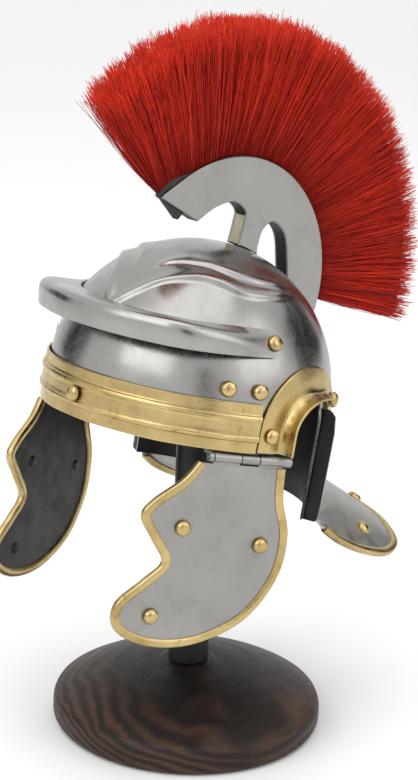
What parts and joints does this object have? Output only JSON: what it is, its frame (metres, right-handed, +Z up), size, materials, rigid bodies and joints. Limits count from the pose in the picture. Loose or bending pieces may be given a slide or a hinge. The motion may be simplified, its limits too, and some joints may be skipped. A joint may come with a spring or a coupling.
{
  "type": "miniature roman legionary helmet on a wooden stand",
  "caption": "Small display copy of a Roman legionary helmet with neck guard, hinged cheek guards, brass trim and a red fore-and-aft crest, held up by a post on a turned wooden base.",
  "frame": {"origin": "centre of the underside of the wooden base, on the surface the stand rests on", "axes": "+Z up along the post; the helmet faces -Y; +X is the wearer's left"},
  "size_m": [0.1156, 0.171, 0.2603],
  "materials": {
    "steel": "polished to a soft mirror, blackened on the inside",
    "brass": "polished, lightly lacquered",
    "black_fibre": "black brush block",
    "red_bristle": "stiff dyed bristle",
    "dark_wood": "stained and varnished",
    "black_paint": "satin black paint on a round dowel"
  },
  "bodies": {
    "helmet_and_stand": {"bowl": "steel", "neck_guard": "steel", "brow_guard": "steel", "crest_holder": "steel", "hinge_leaf_left": "steel", "hinge_leaf_right": "steel", "hinge_pin_left": "steel", "hinge_pin_right": "steel", "neck_edging": "brass", "brow_band": "brass", "band_rivet": "brass", "ear_guard_left": "brass", "ear_guard_right": "brass", "brow_rivet_left": "brass", "brow_rivet_right": "brass", "side_rivet_front_left": "brass", "side_rivet_front_right": "brass", "side_rivet_rear_left": "brass", "side_rivet_rear_right": "brass", "ear_rivet_front_left": "brass", "ear_rivet_front_right": "brass", "ear_rivet_rear_left": "brass", "ear_rivet_rear_right": "brass", "neck_rivet_outer_left": "brass", "neck_rivet_outer_right": "brass", "neck_rivet_inner_left": "brass", "neck_rivet_inner_right": "brass", "crest_block": "black_fibre", "plume": "red_bristle", "stand_base": "dark_wood", "stand_post": "black_paint"},
    "cheek_guard_left": {"cheek_plate_left": "steel", "cheek_edging_left": "brass", "cheek_rivet_upper_left": "brass", "cheek_rivet_rear_left": "brass", "cheek_rivet_lower_left": "brass"},
    "cheek_guard_right": {"cheek_plate_right": "steel", "cheek_edging_right": "brass", "cheek_rivet_upper_right": "brass", "cheek_rivet_rear_right": "brass", "cheek_rivet_lower_right": "brass"}
  },
  "joints": [
    {"name": "cheek_hinge_left", "type": "hinge", "parent": "helmet_and_stand", "child": "cheek_guard_left", "pos_m": [0.04793, -0.02323, 0.12008], "axis": [-0.309, -0.9351, 0.1733], "range_deg": [-28, 90]},
    {"name": "cheek_hinge_right", "type": "hinge", "parent": "helmet_and_stand", "child": "cheek_guard_right", "pos_m": [-0.04793, -0.02323, 0.12008], "axis": [-0.309, 0.9351, -0.1733], "range_deg": [-28, 90]}
  ]
}
